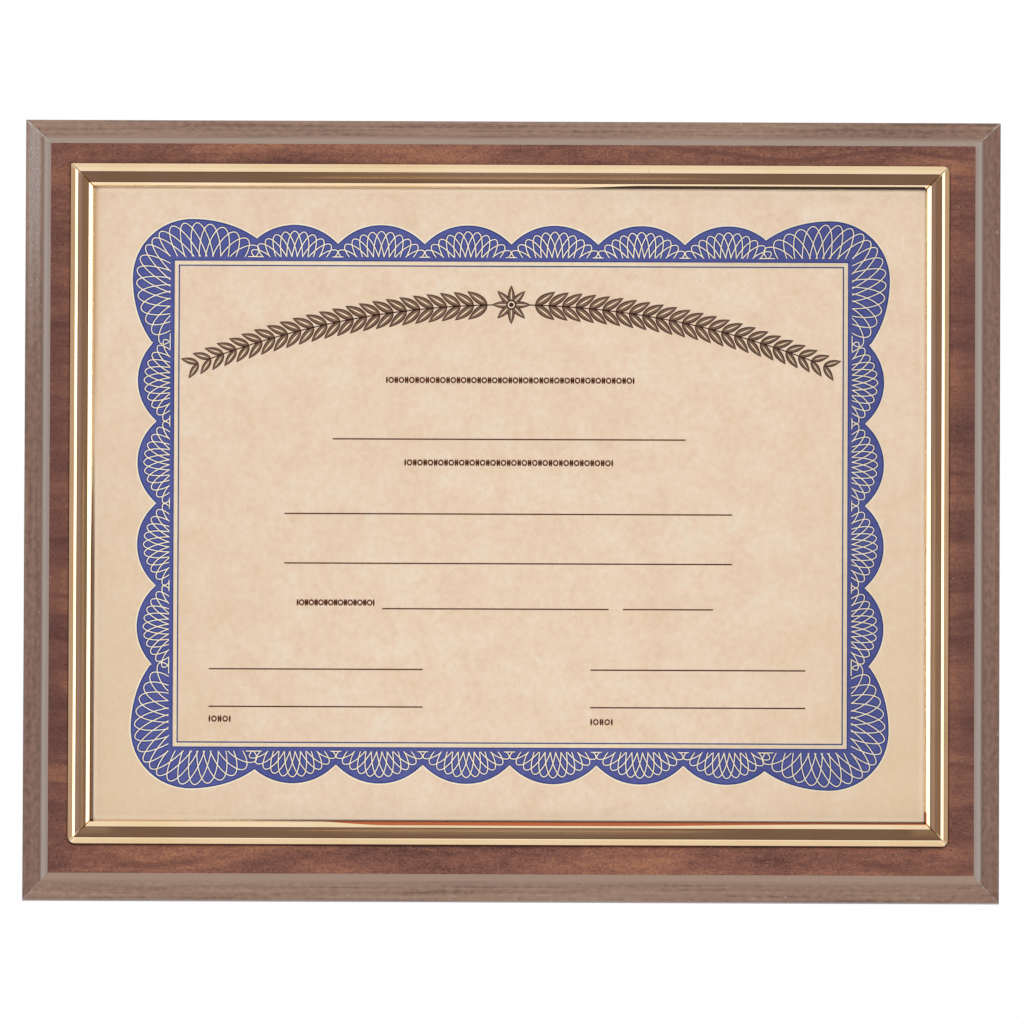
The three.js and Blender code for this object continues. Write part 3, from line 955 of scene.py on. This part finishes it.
def line_tree(width):
    """Bands of ink along the edges of a drawing."""
    plan, seed = new_tree("ink_lines")
    curve = plan.node("GeometryNodeMeshToCurve", {"Mesh": seed})
    return end_tree(plan, swept(plan, curve, width))


def loop_tree(width):
    """Loops of ink: half ellipses from the points' middle, across and rise."""
    plan, seed = new_tree("ink_loops")
    line = plan.node("GeometryNodeCurvePrimitiveLine", {"End": (1, 0, 0)})
    stepped = plan.node("GeometryNodeResampleCurve", {"Curve": line, "Count": LOOP_POINTS}, mode="COUNT")
    copies = plan.node("GeometryNodeInstanceOnPoints", {"Points": seed, "Instance": stepped})
    lines = plan.node("GeometryNodeRealizeInstances", {0: copies})
    turn = plan.node("GeometryNodeSplineParameter") * math.pi

    def stored(name):
        return plan.node("GeometryNodeInputNamedAttribute", {"Name": name}, data_type="FLOAT_VECTOR")

    def scaled(vector, scale):
        return plan.node("ShaderNodeVectorMath", {0: vector, "Scale": scale}, operation="SCALE")

    def added(first, second):
        return plan.node("ShaderNodeVectorMath", {0: first, 1: second}, operation="ADD")

    across = scaled(stored("across"), plan.math("COSINE", turn))
    rise = scaled(stored("rise"), plan.math("SINE", turn))
    values = {"Geometry": lines, "Position": added(stored("middle"), added(across, rise))}
    return end_tree(plan, swept(plan, plan.node("GeometryNodeSetPosition", values), width))


def stamp_tree(motif):
    """Copies of one flat motif, turned and sized at each point."""
    plan, seed = new_tree("ink_stamps")
    shape = plan.node("GeometryNodeObjectInfo", {"Object": motif}).out("Geometry")
    turn = plan.node("GeometryNodeInputNamedAttribute", {"Name": "turn"})
    size = plan.node("GeometryNodeInputNamedAttribute", {"Name": "size"}, data_type="FLOAT_VECTOR")
    angles = plan.node("ShaderNodeCombineXYZ", {"Z": turn})
    values = {"Points": seed, "Instance": shape, "Rotation": angles, "Scale": size}
    return end_tree(plan, plan.node("GeometryNodeInstanceOnPoints", values))


def grown(tree, seed):
    """The plain mesh that a tree makes from a seed mesh."""
    holder = linked("seed", seed)
    holder.modifiers.new("growth", "NODES").node_group = tree
    mesh = evaluated_mesh(holder)
    bpy.data.objects.remove(holder)
    return mesh


def printed(name, mesh, level, ink):
    """Lays a flat drawing in millimetres on the certificate, above its paper."""
    low, high = span(["certificate"])
    centre = (low + high) / 2
    mesh.transform(Matrix.Rotation(math.pi / 2, 4, "X"))
    mesh.transform(Matrix.Translation((
        centre.x + PRINT_OFFSET[0],
        low.y - INK_LIFT - level * INK_THICKNESS,
        centre.z + PRINT_OFFSET[1],
    )))
    mesh.transform(Matrix.Scale(MM, 4))
    made = piece(name, mesh, ink)
    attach(made, "certificate")


def drawing(points, edges):
    mesh = bpy.data.meshes.new("drawing")
    mesh.from_pydata([Vector(p).to_3d() for p in points], edges, [])
    return mesh


def inked(name, points, edges, width, level, ink):
    """Prints bands of ink along the edges between points."""
    printed(name, grown(line_tree(width), drawing(points, edges)), level, ink)


def scattered(points, **attributes):
    """Loose points with values stored on them."""
    mesh = drawing(points, [])
    for name, values in attributes.items():
        is_vector = hasattr(values[0], "__len__")
        kind, field = ("FLOAT_VECTOR", "vector") if is_vector else ("FLOAT", "value")
        layer = mesh.attributes.new(name, kind, "POINT")
        flat = [x for value in values for x in (*value, 0)[:3]] if is_vector else values
        layer.data.foreach_set(field, flat)
    return mesh


def slab_mesh(outlines):
    """A flat slab of ink in the x y plane: the first outline is its edge, the others are its holes."""
    flat = [p.to_3d() for outline in outlines for p in outline]
    count, start = len(flat), 0
    faces = caps(outlines, count)
    for outline in outlines:
        faces += band(start, len(outline), count)
        start += len(outline)
    half = Vector((0, 0, INK_THICKNESS / 2))
    return solid_mesh([(p + side) / MM for side in (-half, half) for p in flat], faces)


def lobe_point(start, turn, radius, reach):
    """A point of a corner's lobe over an edge from a start: round up to its top, and long past it."""
    centre = point(start + LOBE_CENTRE, -LOBE_CENTRE)
    if turn < 0:
        return centre + point(math.sin(turn), math.cos(turn)) * radius
    return centre + point(math.sin(turn) * reach, math.cos(turn) * radius)


def border_side(half_length, count, pitch):
    """The scalloped edge along one side, from corner diagonal to corner diagonal."""
    round_steps, long_steps = LOBE_STEPS
    last_turn = math.asin((LOBE_END - LOBE_CENTRE) / LOBE_REACH)
    turns = [math.pi / 4 * (i / round_steps - 1) for i in range(round_steps + 1)]
    turns += [last_turn * i / long_steps for i in range(1, long_steps + 1)]
    lobe = [lobe_point(-half_length, turn, LOBE_RADIUS, LOBE_REACH) for turn in turns]
    scallops = []
    radius = (pitch ** 2 / 4 + SCALLOP_DROP ** 2) / SCALLOP_DROP / 2
    for scallop in range(count):
        middle = (scallop - (count - 1) / 2) * pitch
        for i in range(SCALLOP_STEPS):
            across = (2 * i / SCALLOP_STEPS - 1) * pitch / 2
            if abs(middle + across) < half_length - LOBE_END:
                drop = radius - math.sqrt(radius ** 2 - across ** 2)
                scallops.append(point(middle + across, SCALLOP_PEAK - drop))
    return [*lobe, *scallops, *(point(-p.x, p.y) for p in lobe[:0:-1])]


def border_outline():
    """The whole scalloped edge, clockwise from the top left corner."""
    placed = []
    for side in range(4):
        axis = side % 2
        turn, out = side_place(side)
        line = border_side(BORDER_HALVES[axis], SCALLOP_COUNTS[axis], SCALLOP_PITCHES[axis])
        placed += [turn @ (p + out) for p in line]
    return placed


def side_place(side):
    """What turns the border's top side to another, and how far out the sides lie."""
    return Matrix.Rotation(-side * math.pi / 2, 2), point(0, BORDER_HALVES[(side + 1) % 2])


def fan_loops(pitch):
    """The loops of one scallop's fan as middle, across and rise, about the foot of the scallop.

    The outermost ones are narrower, so that neighbouring fans only touch."""
    stretch = pitch / SCALLOP_PITCHES[0]
    loops = []
    for k in range(-FAN_LOOPS, FAN_LOOPS + 1):
        height = FAN_HEIGHT * math.cos(FAN_TURN * k) ** 2 - FAN_TIP_DROP * abs(k) ** 5
        tip = point(FAN_SPREAD * math.sin(FAN_TURN * k), height)
        middle = point(FAN_FEET_STEP * k + FAN_FEET_GROWTH * k ** 5, 0)
        growth = FAN_LOOP_GROWTH * k * k if abs(k) < FAN_LOOPS else 0
        across = point(FAN_LOOP_HALF_WIDTH + growth, 0)
        loops.append([point(v.x * stretch, v.y) for v in (middle, across, tip - middle)])
    return loops


def corner_tip(step):
    """Where a corner loop's tip lies, from the border's inner corner: along and outwards."""
    turn = step * CORNER_TURN - math.pi / 4
    if turn > 0:
        turn *= CORNER_SIDE_TURN / CORNER_TURN
    return lobe_point(0, turn, CORNER_TIP_RADIUS, CORNER_TIP_REACH)


def corner_loops():
    """The loops of half a corner's fan, past its diagonal, as middle, across and rise."""
    loops = []
    for step in range(1, CORNER_LOOPS + 1):
        past = step - CORNER_UPRIGHT_LOOP
        along = CORNER_FEET_MIDDLE + CORNER_FEET_STEP * past + CORNER_FEET_GROWTH * max(0, past) ** 3
        middle = point(along, BORDER_BASE)
        half_width = CORNER_LOOP_HALF_WIDTH + CORNER_LOOP_GROWTH * abs(step - CORNER_NARROW_LOOP)
        loops.append([middle, point(half_width, 0), corner_tip(step) - middle])
    return loops


def knot(place, half_width):
    """The short level line under the place where two fans meet."""
    return [point(place, BORDER_BASE), point(half_width, 0), point(0, KNOT_RISE)]


def diagonal_loop():
    middle = point(DIAGONAL_FOOT, -DIAGONAL_FOOT)
    return [middle, point(DIAGONAL_HALF_WIDTH, DIAGONAL_HALF_WIDTH), corner_tip(0) - middle]


def side_loops(side):
    """All the loops that start from one side, about the middle of its inner edge."""
    axis = side % 2
    half, pitch, count = BORDER_HALVES[axis], SCALLOP_PITCHES[axis], SCALLOP_COUNTS[axis]
    loops = []
    for scallop in range(count):
        foot = point((scallop - (count - 1) / 2) * pitch, BORDER_BASE)
        loops += [[foot + middle, across, rise] for middle, across, rise in fan_loops(pitch)]
    loops += [knot((cusp - count / 2) * pitch, KNOT_BASE) for cusp in range(1, count)]
    loops += [knot(hand * (half - CORNER_KNOT_PLACE), CORNER_KNOT_BASE) for hand in (-1, 1)]
    for middle, across, rise in [*corner_loops(), diagonal_loop()]:
        loops.append([point(-half, 0) + middle, across, rise])
    for middle, across, rise in corner_loops():
        loops.append([point(half, 0) + point(-middle.x, middle.y), across, point(-rise.x, rise.y)])
    return loops


def loop_seed():
    """One point for each loop of the border, with the loop's shape stored on it."""
    shapes = {"middle": [], "across": [], "rise": []}
    for side in range(4):
        turn, out = side_place(side)
        for number, (middle, across, rise) in enumerate(side_loops(side)):
            spot = turn @ (middle + out)
            shapes["middle"].append((spot.x, spot.y, number % LOOP_LEVELS * LOOP_STEP))
            shapes["across"].append(turn @ across)
            shapes["rise"].append(turn @ rise)
    return scattered([(0, 0)] * len(shapes["middle"]), **shapes)


def make_border():
    def inset(distance):
        """The corners of the inner edge, moved inwards."""
        x, y = (half - distance for half in BORDER_HALVES)
        return [point(-x, -y), point(x, -y), point(x, y), point(-x, y)]

    def closed(name, points, width, level, ink):
        edges = [(i, (i + 1) % len(points)) for i in range(len(points))]
        inked(name, points, edges, width, level, ink)

    def all_loops(name, width, level, ink):
        printed(name, grown(loop_tree(width), loop_seed()), level, ink)

    outline = border_outline()
    shade = moved_aside(outline, (EDGE_LINE + EDGE_SHADE) / 2, closed=True)
    printed("border_ground", slab_mesh([outline, inset(0)]), 1, "blue_ink")
    closed("border_inner_band", inset(INNER_BAND / 2), INNER_BAND, 1, "pale_ink")
    closed("border_inner_rule", inset(INNER_RULE_INSET), INNER_RULE_LINE, 2, "deep_blue_ink")
    closed("border_outer_shade", shade, EDGE_SHADE, 2, "deep_blue_ink")
    closed("border_inner_shade", inset(-RULE_LINE / 2), RULE_LINE, 2, "deep_blue_ink")
    all_loops("border_loop_shades", LOOP_SHADE, 2, "deep_blue_ink")
    all_loops("border_loops", LOOP_LINE, 3, "cream_ink")
    closed("border_outer_edge", outline, EDGE_LINE, 3, "cream_ink")


def make_ruled_lines():
    points = [(x, height) for left, right, height in RULED_LINES for x in (left, right)]
    edges = [(i, i + 1) for i in range(0, len(points), 2)]
    inked("ruled_lines", points, edges, WRITING_LINE, 1, "line_ink")


def disc(radius, stretch=(1, 1), steps=20):
    """The outline of a disc, or of an oval when it is stretched."""
    turns = [math.tau * i / steps for i in range(steps)]
    spots = [point(math.cos(turn), math.sin(turn)) * radius for turn in turns]
    return [point(p.x * stretch[0], p.y * stretch[1]) for p in spots]


def leaf_outline(length, width, start=0, steps=9):
    """A pointed leaf along x, fullest before its middle."""
    upper = []
    for i in range(steps + 1):
        share = i / steps
        upper.append(point(length * share, width / 2 * math.sin(math.pi * share ** 0.8) ** 0.9))
    lower = [point(p.x, -p.y) for p in reversed(upper[1:-1])]
    return [p + point(start, 0) for p in upper + lower]


def stamped(name, outlines, places, level, ink):
    """Prints a motif at places, each an x, a y, a turn and a size."""
    motif = linked("motif", slab_mesh(outlines))
    seed = scattered(
        [(x, y) for x, y, turn, size in places],
        turn=[turn for x, y, turn, size in places],
        size=[(size, size, 1) for x, y, turn, size in places],
    )
    mesh = grown(stamp_tree(motif), seed)
    bpy.data.objects.remove(motif)
    printed(name, mesh, level, ink)


def garland_spot(angle, rise=0.0):
    """A point of the arch at an angle from its top, moved outwards by rise."""
    radius = GARLAND_RADIUS + rise
    return radius * math.sin(angle), GARLAND_TOP - GARLAND_RADIUS + radius * math.cos(angle)


def make_garland():
    """A laurel garland on an arch, its leaves pointing away from a rosette at the top."""
    leaves, berries = [], []
    for hand in (-1, 1):
        for step in range(1, GARLAND_STEPS + 1):
            angle = hand * (GARLAND_START + GARLAND_HALF_ANGLE * step / GARLAND_STEPS)
            away = -angle if hand > 0 else math.pi - angle
            size = 1.0 - GARLAND_TAPER * (step / GARLAND_STEPS) ** 4
            for spread in (-LEAF_SPREAD, LEAF_SPREAD):
                leaves.append((*garland_spot(angle), away + spread, size))
            rise = BERRY_RISE * (-1) ** step
            berries.append((*garland_spot(angle + hand * BERRY_TURN, rise), 0, 1))
    for turn in range(ROSETTE_PETALS):
        leaves.append((*garland_spot(0), turn * math.tau / ROSETTE_PETALS, PETAL_SIZE))
    ends = [(2 * i / STEM_STEPS - 1) * GARLAND_HALF_ANGLE for i in range(STEM_STEPS + 1)]
    stem_edges = [(i, i + 1) for i in range(STEM_STEPS)]
    inked("garland_stem", [garland_spot(end) for end in ends], stem_edges, STEM_LINE, 1, "brown_ink")
    stamped("garland_leaves", [leaf_outline(*LEAF)], leaves, 1, "brown_ink")
    stamped("garland_leaf_fills", [leaf_outline(*LEAF_FILL, LEAF_FILL_START)], leaves, 2, "tan_ink")
    stamped("garland_ribs", [leaf_outline(*LEAF_RIB, LEAF_RIB_START, 4)], leaves, 3, "cream_ink")
    stamped("garland_berries", [disc(BERRY_RADIUS)], berries, 1, "brown_ink")
    eye = [(*garland_spot(0), 0, 1)]
    stamped("garland_eye", [disc(EYE_RADIUS)], eye, 4, "brown_ink")
    stamped("garland_eye_ring", [disc(radius) for radius in EYE_RING], eye, 5, "cream_ink")


def make_ornament_rows():
    """Rows of bead and reel."""
    beads, reels = [], []
    for left, right, height in ORNAMENT_ROWS:
        count = max(2, round((right - left) / ROW_PITCH))
        step = (right - left) / count
        for i in range(count):
            x = left + step * (i + 0.5)
            beads.append((x, height, 0, 1))
            reels += [(x + side * step * REEL_SHARE, height, 0, 1) for side in (-1, 1)]
    bead = [disc(radius, (1, BEAD_STRETCH)) for radius in (BEAD_RADIUS, BEAD_HOLE_RADIUS)]
    stamped("row_beads", bead, beads, 1, "line_ink")
    stamped("row_reels", [disc(REEL_RADIUS, (REEL_SQUEEZE, 1))], reels, 1, "line_ink")


def dress_cad_nodes():
    """Gives each node that stays its finish."""
    looks = {
        "board_core": "wood_fibre",
        "face_laminate": "face_laminate",
        "back_laminate": "back_laminate",
        "certificate": "parchment",
        "clear_cover": "clear_cover",
    }
    for name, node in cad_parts.items():
        node.data.materials.clear()
        node.data.materials.append(finishes[looks.get(name, "zinc_steel")])


def aim(item, place, target, roll=0.0):
    """Puts a camera or a light at a place, looking at a target."""
    item.location = place
    facing = (Vector(target) - Vector(place)).to_track_quat("-Z", "Y")
    item.rotation_euler = (facing.to_matrix() @ Matrix.Rotation(roll, 3, "Z")).to_euler()


def make_camera():
    data = bpy.data.cameras.new("camera")
    data.sensor_width = SENSOR
    data.lens = SENSOR * CAMERA_DISTANCE / PICTURE_WIDTH
    data.clip_end = 100
    camera = linked("camera", data)
    below = math.radians(CAMERA_FROM_BELOW)
    way = Vector((0, -math.cos(below), -math.sin(below)))
    target = Vector(CAMERA_TARGET)
    aim(camera, target + way * CAMERA_DISTANCE, target, math.radians(CAMERA_ROLL))
    bpy.context.scene.camera = camera


def make_lamp(name, place, size, power, unseen_by, colour=(1, 1, 1), shape="RECTANGLE"):
    """A lamp that shines on the middle, unseen by one kind of ray and through the clear cover."""
    data = bpy.data.lights.new(name, "AREA")
    data.shape = shape
    data.size, data.size_y = size
    data.energy = power
    data.color = colour
    lamp = linked(name, data)
    aim(lamp, place, (0, 0, 0))
    setattr(lamp, f"visible_{unseen_by}", False)
    lamp.visible_transmission = False


def make_lights():
    make_lamp("key_softbox", *KEY_SOFTBOX, "glossy")
    make_lamp("fill_softbox", *FILL_SOFTBOX, "glossy")
    make_lamp("modelling_lamp", *MODELLING_LAMP, "diffuse", WARM, "ELLIPSE")


def make_world():
    """A white room that the camera sees. Metal sees dim walls, a bright strip at each side, and
    the dark space round the camera."""
    world = bpy.data.worlds.new("studio")
    bpy.context.scene.world = world
    world.use_nodes = True
    world.node_tree.nodes.clear()
    plan = Plan(world.node_tree)
    way = plan.node("ShaderNodeSeparateXYZ", {0: plan.node("ShaderNodeTexCoord").out("Generated")})
    azimuth = plan.math("ARCTAN2", way.out("X"), -way.out("Y"))
    height = plan.math("ARCSINE", way.out("Z"))
    aside = abs(azimuth)

    def between(angle, low, high, soft):
        """1 where an angle in radians lies between two bounds in degrees, 0 outside."""
        rise, full = math.radians(low - soft), math.radians(low + soft)
        fall, none = math.radians(high - soft), math.radians(high + soft)
        return angle.range(rise, full) * angle.range(none, fall)

    def area(inner, outer, low, high, soft=1.0):
        """1 on both sides of the camera between these bounds, in degrees aside and above."""
        return between(aside, inner, outer, soft) * between(height, low, high, soft)

    ring = plan.mix(height.range(-0.2, 0.2), (1.22, 1.26, 1.36, 1), (1.08, 1.12, 1.18, 1))
    seen = plan.mix(between(abs(height), 78, 100, 5), ring, WHITE)
    seen = plan.mix(area(42, 110, -45, 45), seen, (0.61, 0.505, 0.46, 1))
    seen = plan.mix(area(42, 80, -12, 22), seen, (2.5, 2.5, 2.5, 1))
    sides = plan.mix(azimuth.range(-0.6, 0.1), (0.39, 0.32, 0.37, 1), (0.28, 0.208, 0.185, 1))
    middle = plan.mix(aside.range(0.02, 0.07), (0.23, 0.172, 0.166, 1), sides)
    dark = plan.mix(area(-50, 37, -45, 30, 3), (0.09, 0.05, 0.05, 1), middle)
    seen = plan.mix(area(-50, 42, -50, 35), seen, dark)
    path = plan.node("ShaderNodeLightPath")
    plain = plan.mix(path.out("Is Glossy Ray"), (0.42, 0.42, 0.42, 1), seen)
    shown = path.out("Is Camera Ray") + path.out("Is Transmission Ray")
    background = plan.node("ShaderNodeBackground", {"Color": plan.mix(shown, plain, WHITE)})
    plan.node("ShaderNodeOutputWorld", {"Surface": background})


def make_floor():
    mesh = bpy.data.meshes.new("floor")
    corners = [(x * FLOOR_REACH, y * FLOOR_REACH) for x, y in ((-1, -1), (1, -1), (1, 1), (-1, 1))]
    mesh.from_pydata([(x, y, -FLOOR_DROP) for x, y in corners], [], [(0, 1, 2, 3)])
    floor = piece("floor", mesh, "pale_floor")
    floor.visible_glossy = False


face_height = -span(["face_laminate"])[0].y
finishes = make_finishes()

make_camera()
make_lights()
make_world()
make_floor()
dress_cad_nodes()
make_edge_foils()
make_rails()
make_border()
make_ruled_lines()
make_garland()
make_ornament_rows()
